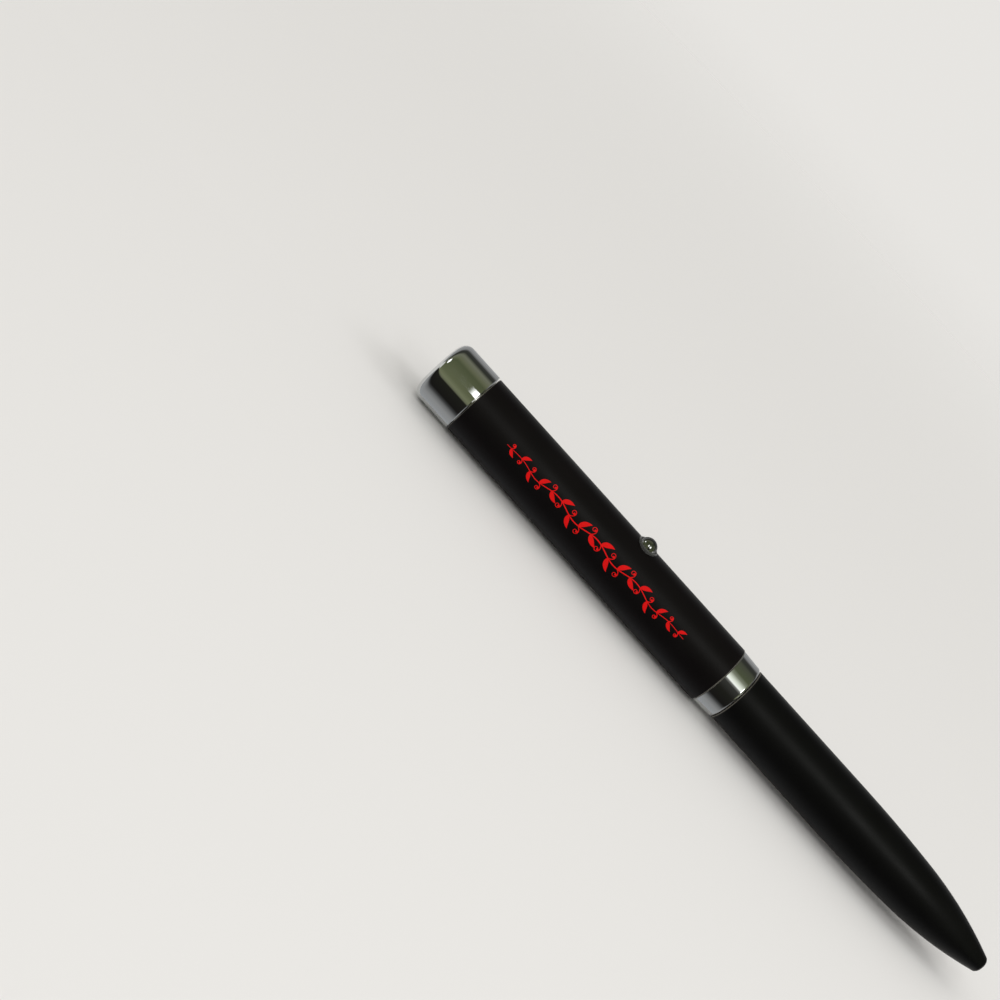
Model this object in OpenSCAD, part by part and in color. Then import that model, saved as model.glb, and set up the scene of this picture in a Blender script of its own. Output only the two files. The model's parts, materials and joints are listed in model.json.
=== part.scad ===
// Projection pen: a twist-action ballpoint pen with an LED slide projector in its rear half.
// The pen lies along X on its head, head towards -X, writing tip towards +X, push button up (+Z).
// Every piece is drawn along its own axis: z runs from the head's rim (0) to the tip, x points
// at the button. The module lay() puts it in its place. All sizes are in millimetres.

/* [Head] */
// Outer diameter of the head
head_d = 12.3; // [12:0.1:13.4]
// Length of the head from its rim to the seam with the barrel
head_len = 8.5; // [7.6:0.1:10.4]
// Wall of the head around its bore
head_wall = 1.2; // [1:0.05:1.5]
// Rounding of the rim's outer edge
rim_round = 1.9; // [1.4:0.05:2]
// Opening in the front of the head
aperture_d = 7.4; // [6.8:0.1:7.6]
// Thickness of the lip that holds the lens
lip_t = 0.8; // [0.7:0.05:1.1]
// Bevel of the opening's front edge
aperture_bevel = 0.25; // [0.1:0.05:0.4]

/* [Upper barrel] */
// Outer diameter of the upper barrel
barrel_d = 12; // [11.6:0.1:13]
// Wall of the upper barrel
barrel_wall = 0.8; // [0.6:0.05:0.9]
// Length of the upper barrel
upper_len = 60.95; // [56:0.05:70]
// Distance of the button from the barrel's rear end
button_back = 24; // [22.5:0.05:29]

/* [Centre ring] */
// Length of the centre ring
ring_len = 4.2; // [3.6:0.1:5.5]
// Diameter of the ring's rear end
ring_rear_d = 11.9; // [11.4:0.1:12.4]
// Diameter of the ring just before its rounded front edge
ring_front_d = 11.5; // [11.2:0.1:12]
// Rounding of the ring's front edge
ring_round = 0.5; // [0.2:0.05:0.6]
// Wall of the ring where the plug's flange sits in it
ring_wall = 0.6; // [0.55:0.05:0.8]

/* [Lower barrel] */
// Outer diameter of the lower barrel
lower_d = 11.1; // [10.9:0.1:12]
// Wall of the lower barrel around the twist mechanism
lower_wall = 0.75; // [0.6:0.05:0.85]
// Length of the lower barrel
lower_len = 61.45; // [58:0.05:72]
// Length of the curved nose
nose_len = 35; // [31:0.5:38]
// Length of the nose's gentle rear curve
gentle_len = 17; // [14:0.5:18]
// Loss of radius over the gentle curve
gentle_drop = 0.55; // [0.3:0.05:0.7]
// Diameter of the blunt tip
tip_d = 3.06; // [2.8:0.02:3.4]
// Bevel of the tip's edge
tip_bevel = 0.2; // [0.1:0.05:0.3]
// Hole that the nib comes out of
nib_hole_d = 1.9; // [1.8:0.05:2.2]
// Length of the nib hole
nib_hole_len = 2.1; // [1.5:0.1:2.5]
// Bore behind the nib hole
nose_bore_d = 3; // [2.8:0.1:3.4]

/* [Lens and focus] */
// Thickness of the lens at its edge
lens_edge_t = 1.1; // [0.9:0.05:1.4]
// Height of the lens's dome
lens_dome_h = 0.65; // [0.4:0.05:0.75]
// Thickness of the lens cell's flange
cell_flange_t = 0.9; // [0.7:0.05:1.1]
// Wall of the lens cell's tube
cell_wall = 0.5; // [0.4:0.05:0.7]
// Length of the lens cell's tube
cell_tube_len = 9.3; // [7.5:0.1:10]
// Thickness of the clip that traps the lens cell in the head
clip_t = 0.55; // [0.4:0.05:0.7]
// Width of the clip's band
clip_w = 0.7; // [0.6:0.05:0.8]
// Opening of the clip's ring, in degrees
clip_mouth = 60; // [40:5:80]
// Depth of the clip's groove in the head
clip_groove = 0.25; // [0.15:0.05:0.35]
// Wall of the focus sleeve's front part
focus_wall = 0.55; // [0.45:0.05:0.65]
// Length of the focus sleeve that stays in the head when it is turned out
focus_overlap = 2.8; // [2:0.1:3]
// Length of the focus sleeve inside the barrel
focus_grip_len = 5.4; // [4.6:0.1:6]
// Way that the head moves out over its turn
focus_travel = 1; // [0.5:0.1:1.2]

/* [Film and lamp] */
// Thickness of the film slide
film_t = 0.2; // [0.15:0.05:0.3]
// Diameter of the film slide
film_d = 8.7; // [8:0.1:8.9]
// Length of the film's retaining ring
film_ring_len = 1; // [0.8:0.1:1.5]
// Width of the film ring's band
film_ring_w = 0.85; // [0.7:0.05:1]
// Width of the film ring's two spanner notches
film_notch_w = 1; // [0.6:0.1:1.4]
// Depth of the spanner notches
film_notch_t = 0.4; // [0.3:0.05:0.5]
// Distance from the film to the lamp's dome
lamp_gap = 2.3; // [1.8:0.1:3]
// Diameter of the lamp
led_d = 5; // [4.8:0.1:5.2]
// Length of the lamp from its dome to the back of its flange
led_len = 8.6; // [8:0.1:9]
// Diameter of the lamp's flange
led_flange_d = 5.8; // [5.6:0.1:6]
// Thickness of the lamp's flange
led_flange_t = 1; // [0.8:0.1:1.2]
// Depth of the flat on the lamp's flange
led_flat = 0.3; // [0.2:0.05:0.4]
// Distance between the lamp's leads
lead_pitch = 2.54; // [2:0.02:2.6]
// Side of a lead's square section
lead_w = 0.5; // [0.4:0.05:0.6]
// Length of the leads behind the lamp
lead_len = 5; // [4:0.1:7]

/* [Switch board] */
// Thickness of the circuit board
board_t = 0.8; // [0.6:0.1:1.2]
// Width of the circuit board
board_w = 9.2; // [8.8:0.1:9.6]
// Wall of the board's carrier
carrier_wall = 1; // [0.9:0.05:1.2]
// Length of the ring at the carrier's front end
carrier_ring_len = 2; // [1.5:0.1:3]
// Side of the switch's square body
switch_w = 4.5; // [4.2:0.1:5]
// Diameter of the four rivet dimples in the switch's cover
rivet_d = 0.7; // [0.5:0.05:0.8]
// Distance between the switch's legs on one side
leg_pitch = 3; // [2.6:0.1:3.4]
// Width of a leg
leg_w = 0.7; // [0.5:0.05:0.8]
// Thickness of a leg
leg_t = 0.2; // [0.15:0.05:0.3]
// Reach of a leg's foot beside the switch
leg_reach = 1.1; // [0.8:0.1:1.4]
// Height of a leg on the switch's side
leg_h = 1.4; // [1:0.1:1.8]
// Diameter of the switch's plunger
plunger_d = 1.8; // [1.4:0.1:2]
// Length of the plunger inside the switch
plunger_root = 1.2; // [1:0.1:1.4]
// Length of the chip resistor
resistor_len = 3.2; // [2:0.1:4]
// Width of the chip resistor
resistor_w = 1.6; // [1.2:0.1:2]
// Height of the chip resistor
resistor_h = 0.6; // [0.5:0.05:0.8]
// Width of the ground tab that touches the barrel
tab_w = 2; // [1.5:0.1:3]
// Thickness of the ground tab
tab_t = 0.2; // [0.15:0.05:0.3]
// Arc of the ground tab along the barrel's wall, in degrees
tab_arc = 40; // [25:1:50]

/* [Button] */
// Diameter of the button
button_d = 3.3; // [2.8:0.1:3.5]
// Height of the button's dome
button_dome_h = 1.3; // [0.8:0.05:1.5]
// Travel of the button
button_travel = 0.5; // [0.3:0.05:0.6]
// Width of the flange that keeps the button in
button_flange_w = 0.6; // [0.5:0.05:0.7]
// Thickness of that flange
button_flange_t = 0.6; // [0.4:0.05:0.8]
// Wall of the collar around the button
bezel_wall = 0.33; // [0.3:0.01:0.45]
// Height of the collar above the barrel's crown
bezel_proud = 0.2; // [0.1:0.05:0.4]
// Width of the collar's inner flange
bezel_flange_w = 0.55; // [0.4:0.05:0.6]
// Least thickness of the collar's inner flange
bezel_flange_t = 0.6; // [0.4:0.05:0.7]

/* [Battery] */
// Number of button cells
coin_count = 3; // [2:1:3]
// Diameter of a button cell
coin_d = 7.9; // [7.8:0.1:8]
// Thickness of a button cell
coin_t = 3.6; // [3.4:0.1:3.8]
// Diameter of a cell's cap
coin_cap_d = 6.5; // [6:0.1:6.8]
// Height of the cap
coin_cap_h = 0.35; // [0.25:0.05:0.5]
// Rounding of the can's edges
coin_round = 0.25; // [0.15:0.05:0.35]
// Thickness of the contact plate in front of the cells
contact_t = 0.4; // [0.3:0.05:0.6]
// Length of the compressed battery spring
spring_len = 3; // [2.8:0.1:4]
// Diameter of the spring's wire
spring_wire = 0.45; // [0.35:0.01:0.5]
// Outer diameter of the battery spring
spring_d = 6; // [5:0.1:7]
// Turns of the battery spring
spring_turns = 2.5; // [1.5:0.5:2.5]
// Length of the plug inside the barrel
plug_grip_len = 3.1; // [2.8:0.1:4]
// Thickness of the plug's front flange
plug_flange_t = 1; // [0.8:0.1:1.2]
// Step between the plug's front flange and its neck
plug_step = 0.5; // [0.4:0.05:0.6]
// Height of the boss inside the battery spring
boss_h = 1; // [0.6:0.1:1.4]
// Solid wall at the plug's rear end
plug_wall = 1.5; // [1.2:0.1:1.8]

/* [Twist mechanism] */
// Way that the nib moves out over the twist
nib_travel = 4.5; // [3.5:0.1:4.8]
// Turn of the lower barrel, in degrees
twist_angle = 180; // [150:5:200]
// Wall of the guide sleeve
guide_wall = 0.63; // [0.55:0.01:0.7]
// Length of the lip that holds the guide sleeve behind the cam
guide_lip_len = 0.7; // [0.5:0.1:0.9]
// Wall of the cam tube
cam_wall = 0.9; // [0.8:0.05:1]
// Floor of the cam tube
cam_floor = 1; // [0.8:0.1:1.5]
// Length of the cam tube in front of its shoulder
cam_len = 17; // [16.6:0.1:20]
// Length of the carriage
carriage_len = 9; // [8:0.1:9.5]
// Floor of the carriage behind the refill
carriage_floor = 1; // [0.8:0.1:1.5]
// Diameter of a follower pin
pin_d = 1.2; // [1:0.05:1.3]
// Distance of the pins from the carriage's rear end
pin_pos = 2.5; // [2:0.1:3]

/* [Refill] */
// Diameter of the refill
refill_d = 2.35; // [2.2:0.05:2.5]
// Wall of the refill's tube
refill_wall = 0.25; // [0.2:0.01:0.35]
// Length of the nib in front of the tube
nib_len = 8; // [7:0.1:10]
// Diameter of the nib's narrow part
nib_narrow_d = 1.6; // [1.3:0.05:1.65]
// Length of the nib's narrow part with its point
nib_narrow_len = 5.5; // [5.2:0.1:6]
// Length of the cone behind the writing ball
nib_cone_len = 1.6; // [1.2:0.1:2.4]
// Length of the nib's shank inside the tube
nib_shank_len = 2; // [1.5:0.1:3]
// Diameter of the writing ball
ball_d = 0.8; // [0.6:0.05:1]
// Depth of the ball behind the tip when the nib is in
nib_setback = 1.5; // [0.8:0.1:1.6]

/* [Clearances] */
// Radial room of pieces that turn or slide in each other
run_clear = 0.08; // [0.04:0.01:0.1]
// Radial room of pieces that are pressed or glued together
seat_clear = 0.02; // [0.01:0.01:0.03]
// Room around a follower pin in its slots
pin_clear = 0.1; // [0.06:0.01:0.15]
// Seam between the head and the barrel, and between the ring and the lower barrel
seam_gap = 0.15; // [0.1:0.01:0.2]
// Axial room beside pieces that turn against each other
face_gap = 0.06; // [0.04:0.01:0.1]
// Broken edges of the metal parts
edge = 0.12; // [0.08:0.01:0.2]

/* [Hidden] */
$fn = 96;
// Fineness of the nose's large arcs
arc_fn = 256;
// Overshoot of cutting shapes
cut = 0.5;

coin_names = [for (i = [1 : coin_count]) str("button_cell_", i)];

// Outer stations along the pen
z_upper = head_len + seam_gap;
z_ring = z_upper + upper_len;
z_ring_end = z_ring + ring_len;
z_lower = z_ring_end + seam_gap;
z_tip = z_lower + lower_len;
z_button = z_ring - button_back;
axis_h = max(head_d, barrel_d, ring_rear_d, lower_d) / 2;

// Radii of the shells
head_r = head_d / 2;
head_bore_r = head_r - head_wall;
aperture_r = aperture_d / 2;
barrel_r = barrel_d / 2;
bore_r = barrel_r - barrel_wall;
fill_r = bore_r - seat_clear;
lower_r = lower_d / 2;
lower_bore_r = lower_r - lower_wall;
tip_r = tip_d / 2;

// Lens, its cell, its clip and the focus sleeve
lens_r = head_bore_r - run_clear;
lens_dome_r = aperture_r - run_clear;
z_lens = lip_t + face_gap;
z_cell = z_lens + lens_edge_t;
z_clip = z_cell + cell_flange_t + face_gap;
focus_r = head_bore_r - run_clear;
focus_bore_r = focus_r - focus_wall;
cell_r = focus_bore_r - run_clear;
cell_bore_r = cell_r - cell_wall;
clip_r = head_bore_r + clip_groove - run_clear;
z_focus = z_upper - focus_overlap - focus_travel;
z_focus_end = z_upper + focus_grip_len;

// Light tube, film and lamp
z_light = z_focus_end;
film_r = film_d / 2;
film_pocket_r = film_r + run_clear;
z_film = z_light + film_ring_len;
z_tunnel = z_film + film_t;
tunnel_r = film_pocket_r - film_ring_w;
z_led = z_tunnel + lamp_gap;
led_r = led_d / 2;
led_flange_r = led_flange_d / 2;
led_pocket_r = led_r + run_clear;
z_led_end = z_led + led_len;

// Board, carrier and switch: heights are measured from the pen's axis towards the button
board_top = -lead_w / 2;
board_bottom = board_top - board_t;
carrier_bore_r = fill_r - carrier_wall;
z_carrier = z_led_end;
z_board = z_carrier + carrier_ring_len;
z_plug = z_ring - plug_grip_len;
z_spring = z_plug - spring_len;
z_coins = z_spring - coin_count * coin_t;
z_contact = z_coins - contact_t;
z_resistor = (z_board + lead_len + z_button - switch_w / 2) / 2;

// Button, collar and switch
button_r = button_d / 2;
bezel_bore_r = button_r + run_clear;
bezel_r = bezel_bore_r + bezel_wall;
bezel_flange_r = bezel_r + bezel_flange_w;
bezel_floor = sqrt(pow(fill_r, 2) - pow(bezel_flange_r, 2)) - bezel_flange_t;
bezel_top = barrel_r + bezel_proud;
button_shoulder = bezel_floor - face_gap;
button_floor = button_shoulder - button_flange_t;
switch_top = button_floor - button_travel - face_gap;
plunger_floor = switch_top - plunger_root;

// Battery and plug
coin_r = coin_d / 2;
coin_bore_r = coin_r + run_clear;
plug_flange_r = ring_front_d / 2 - ring_wall;
plug_neck_r = plug_flange_r - plug_step;

// Twist mechanism
guide_r = lower_bore_r - seat_clear;
guide_bore_r = guide_r - guide_wall;
cam_r = guide_bore_r - run_clear;
cam_bore_r = cam_r - cam_wall;
stem_r = cam_bore_r;
carriage_r = cam_bore_r - run_clear;
z_stem = z_plug + plug_wall;
z_lip = z_lower + edge + seam_gap;
z_cam = z_lip + guide_lip_len + face_gap;
z_cam_bore = z_cam + cam_floor;
z_cam_end = z_cam + cam_len;
z_carriage = z_cam_bore + pin_clear;
z_pins = z_carriage + pin_pos;
z_guide_end = z_cam_end + seam_gap;
pin_r = pin_d / 2;
slot_r = pin_r + pin_clear;
slot_len = nib_travel + 2 * slot_r;
pin_root_r = refill_d / 2 + refill_wall;
pin_reach_r = guide_r - run_clear;
twist_rate = twist_angle / nib_travel;
// Angle between the pins and the button
pin_angle = 90;

// Refill
refill_r = refill_d / 2;
refill_bore_r = refill_r - refill_wall;
z_socket = z_carriage + carriage_floor;
z_ball_tip = z_tip - nib_setback;
z_nib = z_ball_tip - nib_len;
nib_narrow_r = nib_narrow_d / 2;
ball_r = ball_d / 2;

// Lays a piece along X, with its side towards the button up
module lay() {
    translate([-z_tip / 2, 0, axis_h])
        rotate([0, 90, 0])
            rotate([0, 0, 180])
                children();
}

// Turns a profile of radius and station about the pen's axis
module turned() {
    rotate_extrude() children();
}

module rod(r, z0, z1) {
    translate([0, 0, z0]) cylinder(r = r, h = z1 - z0);
}

module tube(r, bore, z0, z1) {
    difference() {
        rod(r, z0, z1);
        rod(bore, z0 - cut, z1 + cut);
    }
}

// A plain shell with broken outer edges, as a profile
module shell_profile(r0, r1, bore, z0, z1) {
    polygon([
        [bore, z0], [r0 - edge, z0], [r0, z0 + edge],
        [r1, z1 - edge], [r1 - edge, z1], [bore, z1]
    ]);
}

// What a rounding takes off an outer corner: side is -1 where the piece begins, 1 where it ends
module corner_waste(r, z, round, side) {
    translate([r - round, z])
        scale([1, -side])
            difference() {
                translate([0, -cut]) square([round + cut, round + cut]);
                translate([0, round]) circle(round);
            }
}

// Points a shape at the button, with its own z as height above the pen's axis
module upright(z) {
    translate([0, 0, z]) rotate([0, 90, 0]) children();
}

// A box on the board: length along the pen, width across it, from height h0 to h1
module board_box(z, len, w, h0, h1) {
    translate([h0, -w / 2, z]) cube([h1 - h0, w, len]);
}

module head_ring() {
    groove_r = head_bore_r + clip_groove;
    color("silver") lay() turned() difference() {
        polygon([
            [aperture_r, aperture_bevel], [aperture_r + aperture_bevel, 0], [head_r, 0],
            [head_r, head_len - edge], [head_r - edge, head_len], [head_bore_r, head_len],
            [head_bore_r, z_clip + clip_t + face_gap], [groove_r, z_clip + clip_t + face_gap],
            [groove_r, z_clip], [head_bore_r, z_clip],
            [head_bore_r, lip_t], [aperture_r, lip_t]
        ]);
        corner_waste(head_r, 0, rim_round, -1);
    }
}

module lens_clip() {
    color("slategray") lay() difference() {
        tube(clip_r, clip_r - clip_w, z_clip, z_clip + clip_t);
        translate([0, 0, z_clip - cut])
            linear_extrude(clip_t + 2 * cut)
                polygon([
                    [0, 0],
                    [-2 * clip_r * cos(clip_mouth / 2), 2 * clip_r * sin(clip_mouth / 2)],
                    [-2 * clip_r * cos(clip_mouth / 2), -2 * clip_r * sin(clip_mouth / 2)]
                ]);
    }
}

module projection_lens() {
    dome_radius = (pow(lens_dome_r, 2) + pow(lens_dome_h, 2)) / (2 * lens_dome_h);
    color("lightcyan", 0.5) lay() {
        rod(lens_r, z_lens, z_cell);
        intersection() {
            // The ball lies on its side, so that neither of its poles is at the dome's middle
            translate([0, 0, z_lens - lens_dome_h + dome_radius]) rotate([90, 0, 0]) sphere(dome_radius);
            rod(lens_dome_r, z_lens - lens_dome_h - cut, z_lens + lens_edge_t / 2);
        }
    }
}

module lens_cell() {
    z_tube = z_cell + cell_flange_t;
    color("dimgray") lay() difference() {
        union() {
            rod(lens_r, z_cell, z_tube);
            rod(cell_r, z_tube - cell_flange_t / 2, z_tube + cell_tube_len);
        }
        rod(cell_bore_r, z_cell - cut, z_tube + cell_tube_len + cut);
    }
}

module focus_sleeve() {
    color("goldenrod") lay() turned() polygon([
        [focus_bore_r, z_focus], [focus_r - edge, z_focus], [focus_r, z_focus + edge],
        [focus_r, z_upper], [fill_r, z_upper], [fill_r, z_focus_end - edge],
        [fill_r - edge, z_focus_end], [focus_bore_r, z_focus_end]
    ]);
}

module upper_barrel() {
    color("black") lay() difference() {
        turned() shell_profile(barrel_r, barrel_r, bore_r, z_upper, z_ring);
        upright(z_button) cylinder(r = bezel_r + seat_clear, h = barrel_r + cut);
    }
}

module light_tube() {
    z_narrow = z_led + led_r;
    z_flange = z_led_end - led_flange_t;
    color("dimgray") lay() turned() polygon([
        [film_pocket_r, z_light], [fill_r, z_light], [fill_r, z_led_end],
        [led_flange_r + run_clear, z_led_end], [led_flange_r + run_clear, z_flange],
        [led_pocket_r, z_flange], [led_pocket_r, z_narrow],
        [tunnel_r, z_tunnel], [film_pocket_r, z_tunnel]
    ]);
}

module film_ring() {
    color("dimgray") lay() difference() {
        tube(film_r, film_r - film_ring_w, z_light, z_film);
        board_box(z_light - cut, film_notch_t + cut, film_notch_w, -film_r - cut, film_r + cut);
    }
}

module film_slide() {
    color("whitesmoke") lay() rod(film_r, z_film, z_tunnel);
}

module led() {
    z_flange = z_led_end - led_flange_t;
    color("azure", 0.6) lay() {
        translate([0, 0, z_led + led_r]) sphere(led_r);
        rod(led_r, z_led + led_r, z_led_end);
        difference() {
            rod(led_flange_r, z_flange, z_led_end);
            translate([0, 0, z_flange - cut])
                board_box(0, led_flange_t + 2 * cut, led_flange_d, led_flange_r - led_flat, led_flange_r);
        }
    }
}

module led_leads() {
    color("lightgray") lay() for (side = [-1, 1])
        translate([0, side * lead_pitch / 2, 0])
            board_box(z_led_end, lead_len, lead_w, board_top, board_top + lead_w);
}

module switch_carrier() {
    color("gray") lay() difference() {
        tube(fill_r, carrier_bore_r, z_carrier, z_contact);
        board_box(z_board, z_contact - z_board + cut, barrel_d, board_bottom, barrel_r);
    }
}

module circuit_board() {
    color("darkgreen") lay() board_box(z_board, z_contact - z_board, board_w, board_bottom, board_top);
}

module switch_body() {
    rivet_pos = switch_w / 2 - rivet_d;
    color("black") lay() difference() {
        board_box(z_button - switch_w / 2, switch_w, switch_w, board_top, switch_top);
        upright(z_button) translate([0, 0, plunger_floor - button_travel - face_gap])
            cylinder(r = plunger_d / 2 + run_clear, h = switch_top);
        for (y = [-1, 1], z = [-1, 1])
            translate([switch_top, y * rivet_pos, z_button + z * rivet_pos]) sphere(rivet_d / 2);
    }
}

// Four bent straps: each runs down the switch's side and turns out onto the board
module switch_legs() {
    side = switch_w / 2;
    color("lightgray") lay()
        for (turn = [0, 1], z = [-1, 1])
            mirror([0, turn, 0])
                translate([board_top, side, z_button + z * leg_pitch / 2 - leg_w / 2])
                    linear_extrude(leg_w)
                        polygon([
                            [0, 0], [leg_h, 0], [leg_h, leg_t],
                            [leg_t, leg_t], [leg_t, leg_reach], [0, leg_reach]
                        ]);
}

module resistor() {
    z_start = z_resistor - resistor_len / 2;
    color("black") lay() board_box(z_start, resistor_len, resistor_w, board_top, board_top + resistor_h);
}

// A springy strip: its foot lies on the board and its tongue follows the barrel's wall
module ground_tab() {
    tongue_r = fill_r - run_clear;
    start = acos(board_top / tongue_r);
    color("peru") lay() translate([0, 0, z_resistor - tab_w / 2]) linear_extrude(tab_w) {
        intersection() {
            translate([board_top, board_w / 2 - tab_w]) square([tab_t, tongue_r]);
            circle(tongue_r);
        }
        intersection() {
            difference() {
                circle(tongue_r);
                circle(tongue_r - tab_t);
            }
            polygon([
                [0, 0],
                2 * tongue_r * [cos(start), sin(start)],
                2 * tongue_r * [cos(start - tab_arc), sin(start - tab_arc)]
            ]);
        }
    }
}

module button_bezel() {
    color("gray") lay() difference() {
        union() {
            intersection() {
                rod(fill_r, z_button - bezel_flange_r - cut, z_button + bezel_flange_r + cut);
                upright(z_button) rod(bezel_flange_r, bezel_floor, barrel_r);
            }
            upright(z_button) turned() shell_profile(bezel_r, bezel_r, 0, bezel_floor, bezel_top);
        }
        upright(z_button) rod(bezel_bore_r, bezel_floor - cut, bezel_top + cut);
    }
}

module button_cap() {
    dome_radius = (pow(button_r, 2) + pow(button_dome_h, 2)) / (2 * button_dome_h);
    dome_top = bezel_top + button_dome_h;
    color("darkslategray") lay() upright(z_button) {
        rod(button_r + button_flange_w, button_floor, button_shoulder);
        rod(button_r, button_floor, bezel_top);
        intersection() {
            translate([0, 0, dome_top - dome_radius]) sphere(dome_radius);
            rod(button_r, bezel_top - edge, dome_top + cut);
        }
    }
}

module switch_plunger() {
    color("white") lay() upright(z_button) rod(plunger_d / 2, plunger_floor, button_floor);
}

module contact_plate() {
    color("gold") lay() rod(fill_r, z_contact, z_coins);
}

module battery_sleeve() {
    color("white") lay() tube(fill_r, coin_bore_r, z_coins, z_plug);
}

// One button cell: a can with a smaller cap at its front end
module button_cell(i) {
    z0 = z_coins + (i - 1) * coin_t;
    z1 = z0 + coin_t;
    color("lightsteelblue") lay() turned() difference() {
        union() {
            translate([0, z0]) square([coin_cap_d / 2, coin_t]);
            translate([0, z0 + coin_cap_h]) square([coin_r, coin_t - coin_cap_h]);
        }
        corner_waste(coin_r, z0 + coin_cap_h, coin_round, -1);
        corner_waste(coin_r, z1, coin_round, 1);
    }
}

// Points of the spring's centre line, and its one unbroken tube
spring_rings = 8;
spring_sides = 6;
coil_r = (spring_d - spring_wire) / 2;
coil_rise = spring_len - spring_wire - 2 * face_gap;
coil_steps = round(spring_turns * spring_rings);
function coil_turn(i) = 360 * i / spring_rings;
function coil_point(i) = [
    coil_r * cos(coil_turn(i)),
    coil_r * sin(coil_turn(i)),
    z_spring + spring_wire / 2 + face_gap + coil_rise * i / coil_steps
];
function ring_point(i, k) = let (p = coil_point(i), a = coil_turn(i), b = 360 * k / spring_sides)
    p + spring_wire / 2 * [cos(b) * cos(a), cos(b) * sin(a), sin(b)];
// Least distance between points of the centre line that lie half a turn or more apart, less the wire
function coil_gap() = min([
    for (i = [0 : coil_steps], j = [i + spring_rings / 2 : 1 : coil_steps])
        norm(coil_point(i) - coil_point(j))
]) - spring_wire;

module battery_spring() {
    points = [for (i = [0 : coil_steps], k = [0 : spring_sides - 1]) ring_point(i, k)];
    sides = [
        for (i = [0 : coil_steps - 1], k = [0 : spring_sides - 1])
            let (a = i * spring_sides + k, b = i * spring_sides + (k + 1) % spring_sides)
                for (f = [[a, b, b + spring_sides], [a, b + spring_sides, a + spring_sides]]) f
    ];
    last = coil_steps * spring_sides;
    ends = [
        for (k = [1 : spring_sides - 2])
            for (f = [[0, k + 1, k], [last, last + k, last + k + 1]]) f
    ];
    echo(spring_gap_mm = coil_gap());
    color("lightgray") lay() polyhedron(points, concat(sides, ends));
}

module battery_plug() {
    boss_r = coil_r - spring_wire - run_clear;
    color("goldenrod") lay() difference() {
        turned() polygon([
            [0, z_plug - boss_h], [boss_r, z_plug - boss_h], [boss_r, z_plug],
            [fill_r - edge, z_plug], [fill_r, z_plug + edge], [fill_r, z_ring], [plug_neck_r, z_ring],
            [plug_neck_r, z_ring_end - plug_flange_t], [plug_flange_r, z_ring_end - plug_flange_t],
            [plug_flange_r, z_ring_end], [0, z_ring_end]
        ]);
        rod(stem_r + seat_clear, z_stem, z_ring_end + cut);
    }
}

module centre_ring() {
    r0 = ring_rear_d / 2;
    r1 = ring_front_d / 2;
    seat_z = z_ring_end - plug_flange_t;
    color("silver") lay() turned() difference() {
        polygon([
            [plug_neck_r + seat_clear, z_ring], [r0 - edge, z_ring], [r0, z_ring + edge], [r1, z_ring_end],
            [plug_flange_r + seat_clear, z_ring_end], [plug_flange_r + seat_clear, seat_z],
            [plug_neck_r + seat_clear, seat_z]
        ]);
        corner_waste(r1, z_ring_end, ring_round, 1);
    }
}

// The tube that drives the carriage: two helical slots, half a turn apart, on a stem
module cam_tube() {
    mid_r = (cam_r + cam_bore_r) / 2;
    slope = atan(nib_travel / (mid_r * twist_angle * PI / 180));
    half_width = slot_r / (mid_r * sin(slope)) * 180 / PI;
    inner = cam_bore_r - cut;
    outer = (cam_r + cut) / cos(half_width);
    start = pin_angle - slot_r * twist_rate;
    color("whitesmoke") lay() difference() {
        union() {
            rod(stem_r, z_stem, z_cam + cam_floor / 2);
            rod(cam_r, z_cam, z_cam_end);
        }
        rod(cam_bore_r, z_cam_bore, z_cam_end + cut);
        for (k = [0, 1])
            translate([0, 0, z_pins - slot_r])
                rotate([0, 0, start + 180 * k])
                    linear_extrude(slot_len, twist = -slot_len * twist_rate, slices = 30, segments = 4)
                        polygon([
                            inner * [cos(half_width), -sin(half_width)],
                            outer * [cos(half_width), -sin(half_width)],
                            outer * [cos(half_width), sin(half_width)],
                            inner * [cos(half_width), sin(half_width)]
                        ]);
    }
}

// The tube that keeps the pins in line with the lower barrel: two straight slots, and a lip behind the cam
module guide_sleeve() {
    color("tan") lay() difference() {
        rod(guide_r, z_lip, z_guide_end);
        rod(stem_r + run_clear, z_lip - cut, z_guide_end);
        rod(guide_bore_r, z_lip + guide_lip_len, z_guide_end + cut);
        for (k = [0, 1])
            rotate([0, 0, pin_angle + 180 * k])
                translate([guide_bore_r - cut, -slot_r, z_pins - slot_r])
                    cube([guide_wall + 2 * cut, 2 * slot_r, slot_len]);
    }
}

module carriage() {
    color("goldenrod") lay() difference() {
        rod(carriage_r, z_carriage, z_carriage + carriage_len);
        rod(refill_r + seat_clear, z_socket, z_carriage + carriage_len + cut);
        pin_pair(pin_r + seat_clear, pin_root_r - seat_clear, carriage_r + cut);
    }
}

module pin_pair(r, r0, r1) {
    for (k = [0, 1])
        translate([0, 0, z_pins])
            rotate([0, 0, pin_angle + 180 * k])
                rotate([0, 90, 0])
                    rod(r, r0, r1);
}

module follower_pins() {
    color("lightgray") lay() pin_pair(pin_r, pin_root_r, pin_reach_r);
}

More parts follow.
